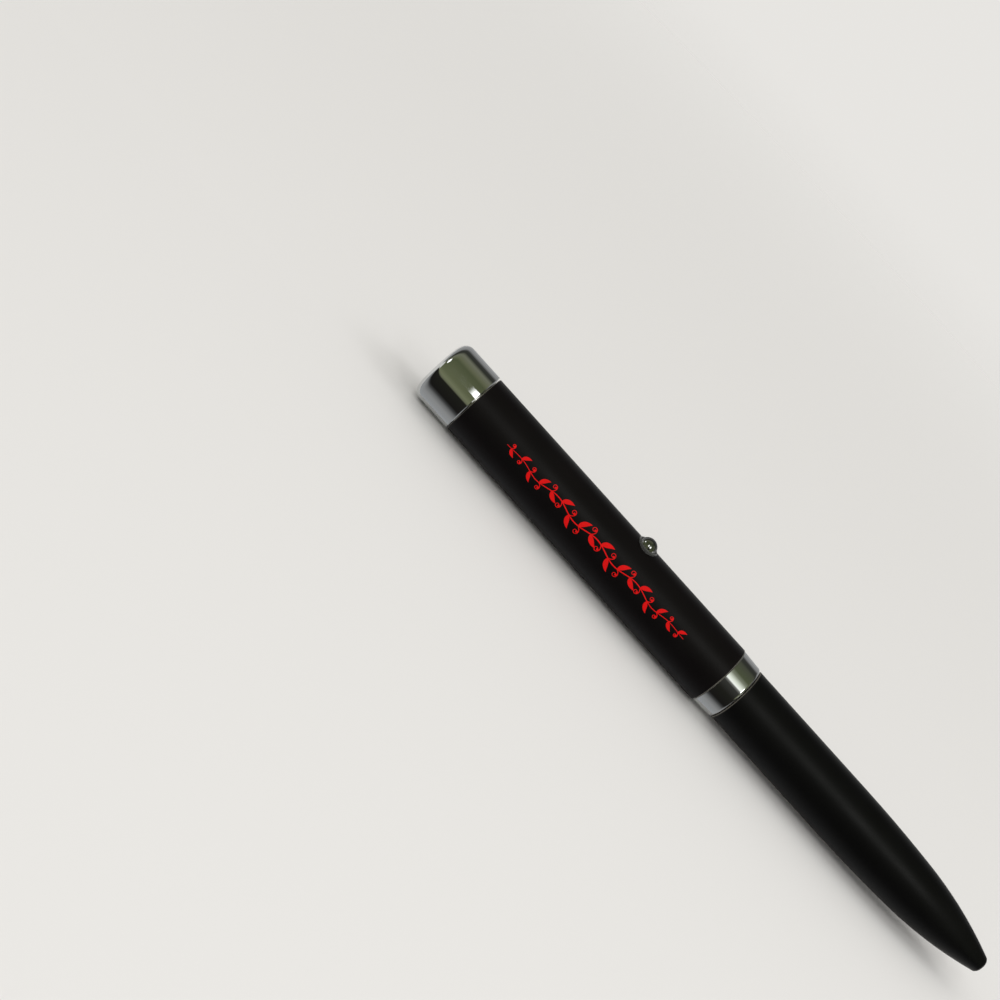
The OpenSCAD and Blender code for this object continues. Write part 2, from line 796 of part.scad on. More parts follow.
// The nose is two arcs that meet without a corner: a gentle one, then a tighter one down to the tip
module lower_barrel() {
    z_nose = z_tip - nose_len;
    z_mid = z_nose + gentle_len;
    rest_len = nose_len - gentle_len;
    mid_r = lower_r - gentle_drop;
    gentle_arc = (pow(gentle_len, 2) + pow(gentle_drop, 2)) / (2 * gentle_drop);
    lean = asin(gentle_len / gentle_arc);
    reach = [tip_r - mid_r, rest_len];
    tight_arc = -(reach * reach) / (2 * (reach * [cos(lean), sin(lean)]));
    z_bore_end = z_guide_end + lower_wall;
    z_hole = z_tip - nib_hole_len;
    nose_bore_r = nose_bore_d / 2;
    nib_hole_r = nib_hole_d / 2;
    color("black") lay() turned() difference() {
        union() {
            polygon([
                [0, z_lower], [lower_r - edge, z_lower], [lower_r, z_lower + edge],
                [lower_r, z_nose], [0, z_nose]
            ]);
            intersection() {
                translate([0, z_nose]) square([lower_r, gentle_len]);
                translate([lower_r - gentle_arc, z_nose]) circle(gentle_arc, $fn = arc_fn);
            }
            intersection() {
                translate([0, z_mid]) square([mid_r, rest_len]);
                translate([mid_r, z_mid] - tight_arc * [cos(lean), sin(lean)])
                    circle(tight_arc, $fn = arc_fn);
            }
        }
        polygon([
            [0, z_lower - cut], [lower_bore_r, z_lower - cut], [lower_bore_r, z_bore_end],
            [nose_bore_r, z_nib + nib_len - nib_narrow_len], [nose_bore_r, z_hole],
            [nib_hole_r, z_hole], [nib_hole_r, z_tip + cut], [0, z_tip + cut]
        ]);
        polygon([
            [tip_r - tip_bevel, z_tip], [tip_r + cut, z_tip - tip_bevel - cut], [tip_r + cut, z_tip]
        ]);
    }
}

module refill_tube() {
    color("lightgray") lay() tube(refill_r, refill_bore_r, z_socket, z_nib);
}

module refill_nib() {
    z_neck = z_ball_tip - nib_narrow_len;
    neck_len = refill_r - nib_narrow_r;
    z_cone = z_ball_tip - nib_cone_len;
    z_end = z_ball_tip - ball_r;
    color("gold") lay() difference() {
        turned() polygon([
            [0, z_nib - nib_shank_len], [refill_bore_r - seat_clear, z_nib - nib_shank_len],
            [refill_bore_r - seat_clear, z_nib], [refill_r, z_nib], [refill_r, z_neck - neck_len],
            [nib_narrow_r, z_neck], [nib_narrow_r, z_cone], [ball_r + edge, z_end], [0, z_end]
        ]);
        translate([0, 0, z_end]) sphere(ball_r + seat_clear);
    }
}

module writing_ball() {
    color("lightgray") lay() translate([0, 0, z_ball_tip - ball_r]) sphere(ball_r);
}

head_ring();
lens_clip();
projection_lens();
lens_cell();
focus_sleeve();
upper_barrel();
light_tube();
film_ring();
film_slide();
led();
led_leads();
switch_carrier();
circuit_board();
switch_body();
switch_legs();
resistor();
ground_tab();
button_bezel();
button_cap();
switch_plunger();
contact_plate();
battery_sleeve();
battery_spring();
battery_plug();
centre_ring();
for (i = [1 : coin_count])
    button_cell(i);
cam_tube();
guide_sleeve();
carriage();
follower_pins();
lower_barrel();
refill_tube();
refill_nib();
writing_ball();
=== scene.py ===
"""Projection pen: the looks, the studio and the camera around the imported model. All sizes are in metres."""
import json
import math

import bpy
from mathutils import Matrix, Vector


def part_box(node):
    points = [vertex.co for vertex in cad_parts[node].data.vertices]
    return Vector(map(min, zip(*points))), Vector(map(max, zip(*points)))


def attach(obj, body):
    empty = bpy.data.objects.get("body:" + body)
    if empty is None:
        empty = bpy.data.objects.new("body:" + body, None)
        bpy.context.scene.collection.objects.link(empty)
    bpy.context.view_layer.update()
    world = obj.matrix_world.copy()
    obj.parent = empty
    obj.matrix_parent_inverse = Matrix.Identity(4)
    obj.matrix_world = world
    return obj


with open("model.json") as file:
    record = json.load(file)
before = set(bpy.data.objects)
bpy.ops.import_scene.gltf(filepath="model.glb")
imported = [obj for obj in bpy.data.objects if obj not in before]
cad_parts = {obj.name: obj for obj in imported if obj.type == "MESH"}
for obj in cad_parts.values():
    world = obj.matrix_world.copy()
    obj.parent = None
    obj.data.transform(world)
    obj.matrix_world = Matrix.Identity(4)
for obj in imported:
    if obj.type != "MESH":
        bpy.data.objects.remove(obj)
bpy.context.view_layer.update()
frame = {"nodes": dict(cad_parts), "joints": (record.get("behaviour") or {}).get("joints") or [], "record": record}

MM = 0.001

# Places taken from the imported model
BARREL_LOW, BARREL_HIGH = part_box("upper_barrel")
LOWER_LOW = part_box("lower_barrel")[0]
SLEEVE_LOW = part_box("focus_sleeve")[0]
BUTTON_LOW, BUTTON_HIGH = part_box("button_cap")
BARREL_R = (BARREL_HIGH.y - BARREL_LOW.y) / 2
AXIS_Z = (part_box("centre_ring")[0].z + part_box("centre_ring")[1].z) / 2
BUTTON_X = (BUTTON_LOW.x + BUTTON_HIGH.x) / 2

# Camera: the photograph's viewing angle
VIEW_AIM = Vector((-44.2, 0, -2)) * MM
VIEW_AZIMUTH = math.radians(-0.7)
VIEW_ELEVATION = math.radians(22.5)
VIEW_ROLL = math.radians(48.2)
VIEW_DISTANCE = 300 * MM
VIEW_LENS = 64
VIEW_NEAR = 10 * MM

# Studio: the floor fades into the pale room between two distances from the pen
FLOOR_SIZE = 8
FLOOR_COLOUR = (0.82, 0.815, 0.805, 1)
FLOOR_FADE = (0.1, 0.7)
ROOM_COLOUR = (0.8, 0.785, 0.757, 1)
ROOM_GLOW = 0.966
# Tent over the pen that only reflections show: each colour at its angle in degrees from the front over the
# top. Angles below zero lie on the tent's flat strip in front of the pen. The colours of both cards are listed
# and rounded, and were adjusted until the chrome's bands came close to the photograph's.
TENT_REACH = 1.1
TENT_HALF_LENGTH = 5
TENT_START = 4 * MM
TENT_LIFT = 0.6 * MM
TENT_STEPS = 36
TENT_BANDS = (
    (-54, (0.39, 0.4, 0.41)),
    (-41, (0.33, 0.33, 0.33)),
    (-34, (0.2, 0.2, 0.2)),
    (-29.5, (0.065, 0.065, 0.065)),
    (-25, (0.013, 0.012, 0.011)),
    (-0.5, (0.018, 0.018, 0.014)),
    (3, (0.16, 0.17, 0.105)),
    (10, (0.215, 0.23, 0.135)),
    (24, (0.15, 0.165, 0.09)),
    (76, (0.1, 0.115, 0.06)),
    (88, (0.16, 0.17, 0.1)),
    (106, (0.2, 0.205, 0.15)),
    (120, (0.04, 0.042, 0.034)),
    (134, (0.05, 0.05, 0.045)),
    (148, (0.3, 0.3, 0.3)),
    (180, (0.42, 0.42, 0.42)),
)
# Card that the centre ring mirrors: dark below, then white, fading to olive; its ends fade away
RING_CARD_REACH = 0.6
RING_CARD_SPAN = (60 * MM, 400 * MM)
RING_CARD_FADE = 60 * MM
RING_BANDS = (
    (-0.5, (0.018, 0.017, 0.014)),
    (28, (0.05, 0.05, 0.045)),
    (35, (0.25, 0.25, 0.23)),
    (39, (1.3, 1.32, 1.24)),
    (47, (1.05, 1.1, 0.95)),
    (62, (0.29, 0.31, 0.23)),
    (76, (0.1, 0.115, 0.065)),
    (108, (0.08, 0.085, 0.06)),
    (119, (0.045, 0.047, 0.037)),
)
# Lamps in front of the pen: their ends along it, and how far they fade in from those ends
FRONT_REACH = 0.45
FRONT_ANGLE = 45.2
FRONT_HEIGHT = 186 * MM
FRONT_BRIGHTNESS = 3.6
FRONT_LOW_FADE = 12 * MM
FRONT_TOP_FADE = 24 * MM
FRONT_BOXES = (
    ("head_front_box", (-82 * MM, 4 * MM), 6 * MM),
    ("tip_front_box", (142 * MM, 250 * MM), 8 * MM),
)
# Square lamps beside the pen: place, side, brightness, fade from the edges, and whether metal mirrors them
SIDE_BOXES = (
    ("head_side_box", (-0.97, -0.163, 0.547), 0.26, 3.0, 0.04, True),
    ("tip_side_box", (0.75, 0.1, 0.75), 0.5, 2.0, 0.05, False),
)

# Numbers of a mix node's sockets when it mixes colours
MIX_SHARE, MIX_FIRST, MIX_SECOND, MIX_RESULT = 0, 6, 7, 2


def node(tree, kind, inputs=None, **settings):
    """Adds a node to a tree; an input takes a plain value or another node's socket."""
    made = tree.nodes.new(kind)
    for name, value in settings.items():
        setattr(made, name, value)
    for key, value in (inputs or {}).items():
        if isinstance(value, bpy.types.NodeSocket):
            tree.links.new(value, made.inputs[key])
        else:
            made.inputs[key].default_value = value
    return made


def material(name, **sockets):
    """A material whose shader has these constant values; words in socket names are joined by _."""
    made = bpy.data.materials.new(name)
    made.use_nodes = True
    shader = made.node_tree.nodes["Principled BSDF"]
    for socket, value in sockets.items():
        shader.inputs[socket.replace("_", " ")].default_value = value
    return made, made.node_tree, shader


def connect(tree, shader, **patterns):
    """Feeds patterns into a shader's inputs; words in socket names are joined by _."""
    for socket, pattern in patterns.items():
        tree.links.new(pattern, shader.inputs[socket.replace("_", " ")])


def place(tree, scale=(1, 1, 1), location=(0, 0, 0)):
    """The point on the object, in metres times scale."""
    where = node(tree, "ShaderNodeTexCoord").outputs["Object"]
    inputs = {"Vector": where, "Scale": scale, "Location": location}
    return node(tree, "ShaderNodeMapping", inputs).outputs["Vector"]


def split(tree, point):
    """The X, Y and Z of a point."""
    return node(tree, "ShaderNodeSeparateXYZ", {"Vector": point}).outputs


def distance(tree, point):
    """How far a point lies from the origin."""
    return node(tree, "ShaderNodeVectorMath", {"Vector": point}, operation="LENGTH").outputs["Value"]


def noise(tree, size, detail=2.0, stretch=(1, 1, 1)):
    """Cloudy noise whose features are about size across."""
    inputs = {"Vector": place(tree, stretch), "Scale": 1 / size, "Detail": detail}
    return node(tree, "ShaderNodeTexNoise", inputs).outputs["Fac"]


def spread(tree, value, low, high, start=0.3, end=0.7):
    """Maps a value from start..end to low..high."""
    inputs = {"Value": value, "From Min": start, "From Max": end, "To Min": low, "To Max": high}
    return node(tree, "ShaderNodeMapRange", inputs).outputs["Result"]


def ease(tree, value, start, end):
    """Goes smoothly from 0 at start to 1 at end."""
    inputs = {"Value": value, "From Min": start, "From Max": end}
    return node(tree, "ShaderNodeMapRange", inputs, interpolation_type="SMOOTHSTEP").outputs["Result"]


def blend_colours(tree, share, first, second):
    """A colour between two, each given as a colour or a socket."""
    inputs = {MIX_SHARE: share, MIX_FIRST: first, MIX_SECOND: second}
    return node(tree, "ShaderNodeMix", inputs, data_type="RGBA").outputs[MIX_RESULT]


def calc(tree, operation, first, second=0.0):
    """One step of arithmetic on numbers or sockets."""
    return node(tree, "ShaderNodeMath", {0: first, 1: second}, operation=operation).outputs[0]


def raise_surface(tree, shader, height, depth):
    """Bumps the surface by a height pattern, depth metres deep."""
    bump = node(tree, "ShaderNodeBump", {"Height": height, "Distance": depth, "Strength": 1.0})
    connect(tree, shader, Normal=bump.outputs["Normal"])


# Lathe marks run round the pen, so their noise is drawn out across it
LATHE_STRETCH = (1, 0.02, 0.02)
# Turning rings on the button's collar
RING_MARK = 0.05 * MM
# Lacquer: the line that is rubbed through at an end, its full width and where it stops
RUB_FULL = 0.05 * MM
RUB_STOP = 0.15 * MM
RUBBED_METAL = (0.5, 0.47, 0.42, 1)
# Threads of the circuit board's laminate
WEAVE = 0.9 * MM


def polished_metal(name, colour, rough, marks=0.04 * MM, depth=1.5e-7, edge=1.0):
    """Plated or turned metal with smudged gloss and lathe marks; edge dims it where it turns away."""
    made, tree, shader = material(
        name, Base_Color=(*colour, 1), Metallic=1.0, Specular_Tint=(edge, edge, edge, 1)
    )
    smudge = noise(tree, size=2.5 * MM, detail=3.0)
    connect(tree, shader, Roughness=spread(tree, smudge, low=rough * 0.7, high=rough * 1.5))
    raise_surface(tree, shader, noise(tree, marks, stretch=LATHE_STRETCH), depth)
    return made


def ring_marked_metal(name, colour, rough):
    """Metal turned about the button's own axis, with rings around it."""
    made, tree, shader = material(name, Base_Color=(*colour, 1), Metallic=0.6)
    radius = distance(tree, place(tree, scale=(1, 1, 0), location=(-BUTTON_X, 0, 0)))
    rings = node(tree, "ShaderNodeTexNoise", {"W": radius, "Scale": 1 / RING_MARK}, noise_dimensions="1D")
    smudge = noise(tree, size=0.6 * MM)
    connect(tree, shader, Roughness=spread(tree, smudge, low=rough * 0.7, high=rough * 1.4))
    raise_surface(tree, shader, rings.outputs["Fac"], depth=2e-6)
    return made


def lacquer(name, colour, ends):
    """Black lacquer on brass: a soft orange peel, hand smudges and a thin rubbed line at these ends."""
    made, tree, shader = material(name, Specular_IOR_Level=0.14)
    along = split(tree, place(tree))["X"]
    lines = []
    for end in ends:
        away = calc(tree, "ABSOLUTE", calc(tree, "SUBTRACT", along, end))
        lines.append(spread(tree, away, low=1.0, high=0.0, start=RUB_FULL, end=RUB_STOP))
    wear = spread(tree, noise(tree, size=4 * MM), low=0.2, high=0.65)
    rubbed = calc(tree, "MULTIPLY", calc(tree, "MAXIMUM", lines[0], lines[-1]), wear)
    faded = [c * 1.6 + 0.0005 for c in colour]
    paint = blend_colours(tree, noise(tree, size=7 * MM, detail=3.0), (*colour, 1), (*faded, 1))
    connect(
        tree,
        shader,
        Base_Color=blend_colours(tree, rubbed, paint, RUBBED_METAL),
        Metallic=rubbed,
        Roughness=spread(tree, noise(tree, size=9 * MM), low=0.39, high=0.46),
    )
    raise_surface(tree, shader, noise(tree, size=0.5 * MM, detail=1.0), depth=1.5e-6)
    return made


def plastic(name, colour, rough, grain=0.25 * MM, depth=3e-6, specular=0.5):
    """Moulded plastic: a fine spark-eroded grain and a slight drift of colour."""
    made, tree, shader = material(name, Specular_IOR_Level=specular)
    pale = [min(1.0, c * 1.25 + 0.003) for c in colour]
    drift = noise(tree, size=1.8 * MM, detail=3.0)
    gloss = noise(tree, size=0.8 * MM)
    connect(
        tree,
        shader,
        Base_Color=blend_colours(tree, drift, (*colour, 1), (*pale, 1)),
        Roughness=spread(tree, gloss, low=rough * 0.85, high=rough * 1.15),
    )
    raise_surface(tree, shader, noise(tree, grain), depth)
    return made


def clear_resin(name, colour, index, haze):
    """Clear moulded resin with faint smears in its polish."""
    made, tree, shader = material(name, Base_Color=(*colour, 1), Transmission_Weight=1.0, IOR=index)
    smears = noise(tree, size=1.5 * MM, detail=3.0)
    connect(tree, shader, Roughness=spread(tree, smears, low=haze * 0.3, high=haze * 1.8))
    return made


def film_sheet(name):
    """Thin frosted film that lets light through."""
    made, tree, shader = material(name, Transmission_Weight=0.35, IOR=1.5)
    frost = noise(tree, size=0.12 * MM, detail=4.0)
    connect(
        tree,
        shader,
        Base_Color=blend_colours(tree, frost, (0.72, 0.74, 0.73, 1), (0.86, 0.87, 0.85, 1)),
        Roughness=spread(tree, frost, low=0.3, high=0.55),
    )
    return made


def board_laminate(name):
    """Green solder mask over a woven laminate."""
    made, tree, shader = material(name, Specular_IOR_Level=0.5)
    inputs = {"Vector": place(tree), "Scale": 1 / WEAVE}
    warp = node(tree, "ShaderNodeTexWave", inputs, bands_direction="X")
    weft = node(tree, "ShaderNodeTexWave", inputs, bands_direction="Y")
    weave = calc(tree, "MULTIPLY", warp.outputs["Fac"], weft.outputs["Fac"])
    connect(
        tree,
        shader,
        Base_Color=blend_colours(tree, weave, (0.015, 0.11, 0.04, 1), (0.03, 0.19, 0.07, 1)),
        Roughness=spread(tree, weave, low=0.28, high=0.4),
    )
    raise_surface(tree, shader, weave, depth=4e-6)
    return made


def ink(name):
    """Printed ink: slightly uneven cover and a dull surface."""
    made, tree, shader = material(name, Specular_IOR_Level=0.1)
    cover = noise(tree, size=0.35 * MM, detail=4.0)
    connect(
        tree,
        shader,
        Base_Color=blend_colours(tree, cover, (0.58, 0.001, 0.0015, 1), (0.82, 0.004, 0.004, 1)),
        Roughness=spread(tree, cover, low=0.45, high=0.6),
    )
    raise_surface(tree, shader, noise(tree, size=0.08 * MM), depth=2e-6)
    return made


FINISHES = {
    "chrome": polished_metal("chrome", (0.67, 0.685, 0.685), rough=0.03, marks=0.3 * MM, depth=2e-8),
    "black_chrome": polished_metal("black_chrome", (0.33, 0.335, 0.33), rough=0.1, edge=0.2),
    "dull_steel": ring_marked_metal("dull_steel", (0.14, 0.142, 0.138), rough=0.26),
    "spring_steel": polished_metal("spring_steel", (0.6, 0.6, 0.62), rough=0.24),
    "cell_steel": polished_metal("cell_steel", (0.66, 0.67, 0.69), rough=0.2),
    "nickel_plate": polished_metal("nickel_plate", (0.42, 0.415, 0.39), rough=0.22),
    "brass": polished_metal("brass", (0.78, 0.56, 0.22), rough=0.26, marks=0.08 * MM, depth=2e-6),
    "refill_metal": polished_metal("refill_metal", (0.72, 0.6, 0.36), rough=0.2, marks=0.06 * MM, depth=1e-6),
    "clear_lens": clear_resin("clear_lens", (0.95, 0.98, 1.0), index=1.49, haze=0.02),
    "clear_lamp": clear_resin("clear_lamp", (0.92, 0.96, 1.0), index=1.53, haze=0.05),
    "film": film_sheet("film"),
    "black_plastic": plastic("black_plastic", (0.012, 0.012, 0.013), rough=0.62, specular=0.3),
    "grey_plastic": plastic("grey_plastic", (0.27, 0.28, 0.29), rough=0.5),
    "white_plastic": plastic("white_plastic", (0.76, 0.76, 0.73), rough=0.42),
    "natural_plastic": plastic("natural_plastic", (0.68, 0.62, 0.5), rough=0.45),
    "green_board": board_laminate("green_board"),
    "red_ink": ink("red_ink"),
}
OWN_FINISHES = {
    "upper_barrel": lacquer("upper_lacquer", (0.0035, 0.0026, 0.0028), (BARREL_LOW.x, BARREL_HIGH.x)),
    "lower_barrel": lacquer("lower_lacquer", (0.0022, 0.0022, 0.0022), (LOWER_LOW.x,)),
}


def dress_nodes():
    """Gives every CAD node its finish."""
    for row in frame["record"]["subparts"]:
        name = row["node"]
        slots = frame["nodes"][name].data.materials
        slots.clear()
        slots.append(OWN_FINISHES.get(name) or FINISHES[row["material_slot"]])


def new_object(name, points, faces, finish):
    """A new object from points and faces, with a finish."""
    mesh = bpy.data.meshes.new(name)
    mesh.from_pydata(points, [], faces)
    mesh.validate()
    mesh.update()
    mesh.materials.append(finish)
    made = bpy.data.objects.new(name, mesh)
    bpy.context.scene.collection.objects.link(made)
    return made


def mesh_piece(name, points, faces, finish, body):
    """A new piece of the pen, on a body."""
    piece = new_object(name, points, faces, finish)
    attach(piece, body)


def stage_piece(name, points, faces, finish):
    """A piece of the studio, which is no part of the pen."""
    piece = new_object(name, points, faces, finish)
    return piece


# Red vine on the barrel's side: a wavy stem with leaves and tendrils on alternate sides
PRINT_START = BARREL_LOW.x + 8.8 * MM
PRINT_LENGTH = 43 * MM
PRINT_ANGLE = math.radians(17.5)
STEM_WAVES = 4.5
STEM_SWING = 0.45 * MM
STEM_WIDTH = 0.2 * MM
STEM_THIN = 0.45
STEM_CALM = 1 / 6
STEM_STEPS = 200
LEAF_COUNT = 18
LEAF_FIRST = 0.4
LEAF_SMALLEST = 0.62
LEAF_LENGTH = 2.5 * MM
LEAF_WIDTH = 0.85 * MM
LEAF_TIP = 0.03 * MM
LEAF_FULLNESS = 0.75
LEAF_LEAN = math.radians(62)
LEAF_BEND = 0.75
COURSE_STEP = 0.004
TENDRIL_LENGTH = 3.3 * MM
TENDRIL_WIDTH = 0.15 * MM
TENDRIL_TAPER = 0.35
TENDRIL_LEAN = math.radians(35)
TENDRIL_TURN = math.radians(400)
TENDRIL_CURL = 1.8
TENDRIL_STEPS = 40
BERRY_R = 0.2 * MM
BERRY_TIP = 0.01 * MM
BERRY_STEPS = 12
INK_FLOOR = 0.002 * MM
INK_TOP = 0.016 * MM
INK_LAYER = 0.003 * MM


def on_barrel(along, across, lift):
    """A point on the printed side: along the pen, across the print, lifted off the barrel."""
    radius = BARREL_R + lift
    angle = PRINT_ANGLE + across / BARREL_R
    return (PRINT_START + along, -radius * math.cos(angle), AXIS_Z + radius * math.sin(angle))


def add_stroke(points, faces, path, widths, layer=0):
    """A thin closed stroke of ink along a path of (along, across); higher layers lie over lower ones."""
    first = len(points)
    count = len(path)
    for i, (along, across) in enumerate(path):
        before, after = path[max(i - 1, 0)], path[min(i + 1, count - 1)]
        run = Vector((after[0] - before[0], after[1] - before[1])).normalized()
        for lift in (INK_FLOOR, INK_TOP + layer * INK_LAYER):
            for side in (-1, 1):
                shift = side * widths[i] / 2
                points.append(on_barrel(along - run.y * shift, across + run.x * shift, lift))
    for i in range(count - 1):
        a, b = first + 4 * i, first + 4 * (i + 1)
        for p, q in ((0, 1), (1, 3), (3, 2), (2, 0)):
            faces.append((a + p, a + q, b + q, b + p))
    last = first + 4 * (count - 1)
    faces.append((first, first + 2, first + 3, first + 1))
    faces.append((last, last + 1, last + 3, last + 2))


def walk(start, length, heading, steps=24):
    """A path that sets out from a point and turns as heading(share) says."""
    path = [start]
    for i in range(steps):
        angle = heading((i + 0.5) / steps)
        along, across = path[-1]
        path.append((along + math.cos(angle) * length / steps, across + math.sin(angle) * length / steps))
    return path


def stem_point(share):
    """The stem's middle at a share of its length; its waves die down towards both ends."""
    fade = min(1.0, share / STEM_CALM, (1 - share) / STEM_CALM)
    return (PRINT_LENGTH * share, STEM_SWING * fade * math.sin(2 * math.pi * STEM_WAVES * share))


def add_leaf(points, faces, base, course, side, size):
    """A pointed leaf that bends back towards the stem's course."""
    path = walk(base, LEAF_LENGTH * size, lambda share: course + side * LEAF_LEAN * (1 - LEAF_BEND * share))
    count = len(path) - 1
    bulges = [math.sin(math.pi * (i / count) ** LEAF_FULLNESS) for i in range(count + 1)]
    add_stroke(points, faces, path, [LEAF_WIDTH * size * bulge + LEAF_TIP for bulge in bulges], layer=1)


def add_tendril(points, faces, base, course, side, size):
    """A thin tendril that curls up, with a berry at its end."""
    def heading(share):
        return course + side * (TENDRIL_LEAN + TENDRIL_TURN * share ** TENDRIL_CURL)

    path = walk(base, TENDRIL_LENGTH * size, heading, TENDRIL_STEPS)
    widths = [TENDRIL_WIDTH * (1 - TENDRIL_TAPER * i / TENDRIL_STEPS) for i in range(TENDRIL_STEPS + 1)]
    add_stroke(points, faces, path, widths, layer=2)
    along, across = path[-1]
    rounds = [math.cos(math.pi * i / BERRY_STEPS) for i in range(BERRY_STEPS + 1)]
    berry = [(along - BERRY_R * c, across) for c in rounds]
    widths = [2 * BERRY_R * math.sqrt(1 - c * c) + BERRY_TIP for c in rounds]
    add_stroke(points, faces, berry, widths, layer=3)


def print_ornament():
    """Prints the whole vine as one piece."""
    points, faces = [], []
    shares = [i / STEM_STEPS for i in range(STEM_STEPS + 1)]
    widths = [STEM_WIDTH * (STEM_THIN + (1 - STEM_THIN) * math.sin(math.pi * share)) for share in shares]
    add_stroke(points, faces, [stem_point(share) for share in shares], widths)
    for i in range(LEAF_COUNT):
        share = (i + LEAF_FIRST) / LEAF_COUNT
        base, ahead = stem_point(share), stem_point(share + COURSE_STEP)
        course = math.atan2(ahead[1] - base[1], ahead[0] - base[0])
        side = 1 if i % 2 else -1
        size = LEAF_SMALLEST + (1 - LEAF_SMALLEST) * math.sin(math.pi * share)
        add_leaf(points, faces, base, course, side, size)
        add_tendril(points, faces, base, course, -side, size)
    mesh_piece("barrel_ornament", points, faces, FINISHES["red_ink"], "projector")


# Screw thread on the focus sleeve, seen when the head is turned out. Its section is given in shares of the
# width and the height, and its foot lies inside the sleeve.
THREAD_HEIGHT = 0.05 * MM
THREAD_WIDTH = 0.42 * MM
THREAD_SECTION = ((-0.5, -0.2), (-0.12, 1.0), (0.12, 1.0), (0.5, -0.2))
THREAD_STEPS = 64
THREAD_RUN_OUT = 12
THREAD_INSET = 0.5 * MM
THREAD_GAP = 0.02 * MM
NECK_CLEAR = 1 * MM


def thread_radius():
    """Radius of the focus sleeve's neck, read from the part of the sleeve in front of the barrel."""
    points = [v.co for v in frame["nodes"]["focus_sleeve"].data.vertices]
    neck = [p for p in points if p.x < BARREL_LOW.x - NECK_CLEAR]
    return max(math.hypot(p.y, p.z - AXIS_Z) for p in neck)


def focus_thread():
    """The thread's ridge, whose pitch is the head's travel in one turn."""
    slide = next(j for j in frame["joints"] if j["name"] == "focus_slide")
    pitch = slide["range_m"][1] - slide["range_m"][0]
    start = SLEEVE_LOW.x + THREAD_INSET
    end = BARREL_LOW.x - THREAD_GAP
    neck_r = thread_radius()
    turns = (end - start - THREAD_WIDTH) / pitch
    steps = round(turns * THREAD_STEPS)
    points, faces = [], []
    for i in range(steps + 1):
        angle = 2 * math.pi * turns * i / steps
        along = start + THREAD_WIDTH / 2 + pitch * turns * i / steps
        fade = min(1.0, i / THREAD_RUN_OUT, (steps - i) / THREAD_RUN_OUT)
        for shift, lift in THREAD_SECTION:
            x = along + shift * THREAD_WIDTH
            radius = neck_r + THREAD_HEIGHT * (lift if lift < 0 else lift * fade)
            points.append((x, -radius * math.cos(angle), AXIS_Z + radius * math.sin(angle)))
    for i in range(steps):
        a, b = 4 * i, 4 * (i + 1)
        for k in range(4):
            n = (k + 1) % 4
            faces.append((a + k, a + n, b + n, b + k))
    faces.append((3, 2, 1, 0))
    faces.append(tuple(4 * steps + k for k in range(4)))
    mesh_piece("focus_thread", points, faces, FINISHES["nickel_plate"], "projector")


def floor():
    """A plain pale floor under the pen, which fades away at a distance."""
    half = FLOOR_SIZE / 2
    finish, tree, shader = material(
        "floor_paper", Base_Color=FLOOR_COLOUR, Roughness=0.9, Specular_IOR_Level=0.1
    )
    near, far = FLOOR_FADE
    connect(tree, shader, Alpha=ease(tree, distance(tree, place(tree)), far, near))
    corners = [(-half, -half, 0), (half, -half, 0), (half, half, 0), (-half, half, 0)]
    stage_piece("floor", corners, [(0, 1, 2, 3)], finish)


def room():
    """Even light from the room; its pale walls show to the camera, in metal and through glass."""
    world = bpy.data.worlds.new("room")
    world.use_nodes = True
    bpy.context.scene.world = world
    tree = world.node_tree
    rays = node(tree, "ShaderNodeLightPath").outputs
    seen = calc(tree, "MAXIMUM", rays["Is Camera Ray"], rays["Is Glossy Ray"])
    seen = calc(tree, "MAXIMUM", seen, rays["Is Transmission Ray"])
    background = tree.nodes["Background"]
    background.inputs["Color"].default_value = ROOM_COLOUR
    connect(tree, background, Strength=spread(tree, seen, low=ROOM_GLOW, high=1.0, start=0.0, end=1.0))


def softbox(name, stand, target, size, brightness, fades):
    """A rectangular lamp that faces the target; brightness is what a mirror shows of its middle.

    It fades in over three lengths: from its ends, its low edge and its top edge.
    """
    width, height = size
    ends, low, top = fades
    lamp = bpy.data.lights.new(name, "AREA")
    lamp.shape = "RECTANGLE"
    lamp.size, lamp.size_y = width, height
    lamp.energy = brightness * math.pi * width * height
    lamp.use_nodes = True
    tree = lamp.node_tree
    face = split(tree, node(tree, "ShaderNodeNewGeometry").outputs["Parametric"])
    glow = ease(tree, face["X"], 0, ends / width)
    for side in (
        ease(tree, face["X"], 1, 1 - ends / width),
        ease(tree, face["Y"], 0, low / height),
        ease(tree, face["Y"], 1, 1 - top / height),
    ):
        glow = calc(tree, "MULTIPLY", glow, side)
    connect(tree, tree.nodes["Emission"], Strength=glow)
    holder = bpy.data.objects.new(name, lamp)
    holder.location = stand
    holder.rotation_euler = (Vector(target) - Vector(stand)).to_track_quat("-Z", "Y").to_euler()
    bpy.context.scene.collection.objects.link(holder)
    return holder


def around_pen(degrees, reach):
    """The y and z of a point at an angle from the front over the top, at this reach from the pen's axis."""
    return -reach * math.cos(math.radians(degrees)), AXIS_Z + reach * math.sin(math.radians(degrees))


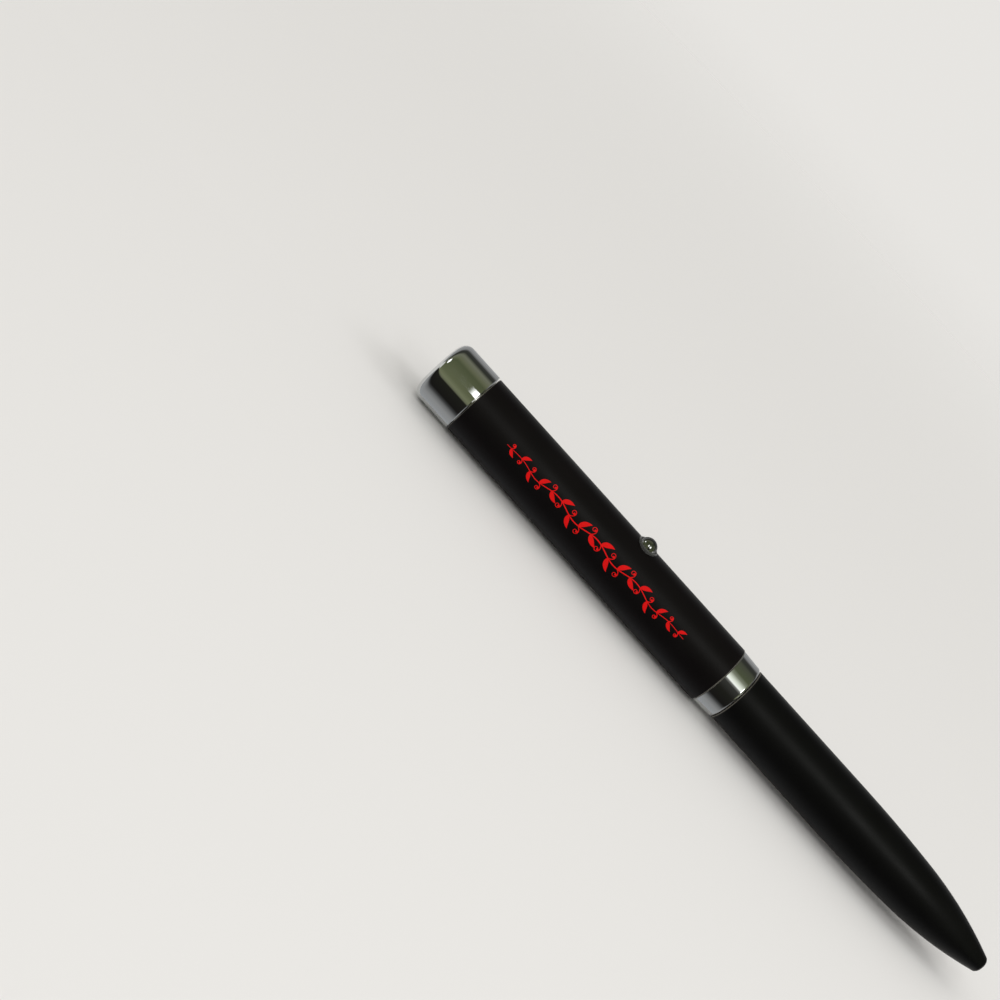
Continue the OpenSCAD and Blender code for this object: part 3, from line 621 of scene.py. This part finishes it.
def banded_card(name, bands):
    """A card that glows in bands, each colour at its angle from the front over the top."""
    finish, tree, shader = material(
        name, Base_Color=(0, 0, 0, 1), Specular_IOR_Level=0.0, Emission_Strength=1.0
    )
    spot = split(tree, place(tree, scale=(1, -1, 1), location=(0, 0, -AXIS_Z)))
    angle = calc(tree, "DEGREES", calc(tree, "ARCTAN2", spot["Z"], spot["Y"]))
    first, last = bands[0][0], bands[-1][0]
    share = spread(tree, angle, low=0.0, high=1.0, start=first, end=last)
    ramp = node(tree, "ShaderNodeValToRGB", {"Fac": share})
    stops = ramp.color_ramp.elements
    stops.remove(stops[1])
    for degrees, colour in bands:
        stop = stops[0] if degrees == first else stops.new((degrees - first) / (last - first))
        stop.color = (*colour, 1)
    connect(tree, shader, Emission_Color=ramp.outputs["Color"])
    return finish


def fading_card(name, bands, span, fade):
    """A banded card that fades away towards both ends of its span along the pen."""
    finish = banded_card(name, bands)
    tree = finish.node_tree
    along = split(tree, place(tree))["X"]
    start, end = span
    cover = calc(tree, "MULTIPLY", ease(tree, along, start, start + fade), ease(tree, along, end, end - fade))
    connect(tree, tree.nodes["Principled BSDF"], Alpha=cover)
    return finish


def hang_card(name, profile, span, finish):
    """Hangs a card with this profile of y and z along the pen, where only reflections show it."""
    count = len(profile)
    points = [(x, y, z) for x in span for y, z in profile]
    faces = [(i, i + 1, count + i + 1, count + i) for i in range(count - 1)]
    card = stage_piece(name, points, faces, finish)
    card.visible_camera = False
    card.visible_diffuse = False
    card.visible_transmission = False
    card.visible_shadow = False


def cards():
    """A tent around the pen, dark before it, olive above it and pale behind it, and the ring's own card."""
    turns = [math.pi * i / TENT_STEPS for i in range(TENT_STEPS + 1)]
    profile = [(-TENT_START, TENT_LIFT)]
    profile += [(-TENT_REACH * math.cos(a), TENT_LIFT + TENT_REACH * math.sin(a)) for a in turns]
    hang_card("tent", profile, (-TENT_HALF_LENGTH, TENT_HALF_LENGTH), banded_card("tent_cloth", TENT_BANDS))
    profile = [around_pen(degrees, RING_CARD_REACH) for degrees, _ in RING_BANDS]
    paper = fading_card("ring_card_paper", RING_BANDS, RING_CARD_SPAN, RING_CARD_FADE)
    hang_card("ring_card", profile, RING_CARD_SPAN, paper)


def studio():
    """The floor, the room, the lamps and the cards."""
    floor()
    room()
    for name, (start, end), fade in FRONT_BOXES:
        middle = (start + end) / 2
        stand = (middle, *around_pen(FRONT_ANGLE, FRONT_REACH))
        size = (end - start, FRONT_HEIGHT)
        fades = (fade, FRONT_LOW_FADE, FRONT_TOP_FADE)
        softbox(name, stand, (middle, 0, AXIS_Z), size, FRONT_BRIGHTNESS, fades)
    for name, stand, side, brightness, fade, mirrored in SIDE_BOXES:
        lamp = softbox(name, stand, (0, 0, AXIS_Z), (side, side), brightness, (fade, fade, fade))
        lamp.visible_glossy = mirrored
    cards()


def camera():
    """The photograph's view of the pen, which runs down to the right."""
    turn, lift = VIEW_AZIMUTH, VIEW_ELEVATION
    back = Vector((math.sin(turn) * math.cos(lift), -math.cos(turn) * math.cos(lift), math.sin(lift)))
    right = Vector((0, 0, 1)).cross(back).normalized()
    up = back.cross(right)
    side = math.cos(VIEW_ROLL) * right + math.sin(VIEW_ROLL) * up
    top = math.cos(VIEW_ROLL) * up - math.sin(VIEW_ROLL) * right
    lens = bpy.data.cameras.new("camera")
    lens.lens = VIEW_LENS
    lens.clip_start = VIEW_NEAR
    eye = bpy.data.objects.new("camera", lens)
    stand = Matrix.Translation(VIEW_AIM + VIEW_DISTANCE * back)
    eye.matrix_world = stand @ Matrix((side, top, back)).transposed().to_4x4()
    bpy.context.scene.collection.objects.link(eye)
    bpy.context.scene.camera = eye


dress_nodes()
print_ornament()
focus_thread()
studio()
camera()
bpy.context.scene.view_settings.view_transform = "Standard"
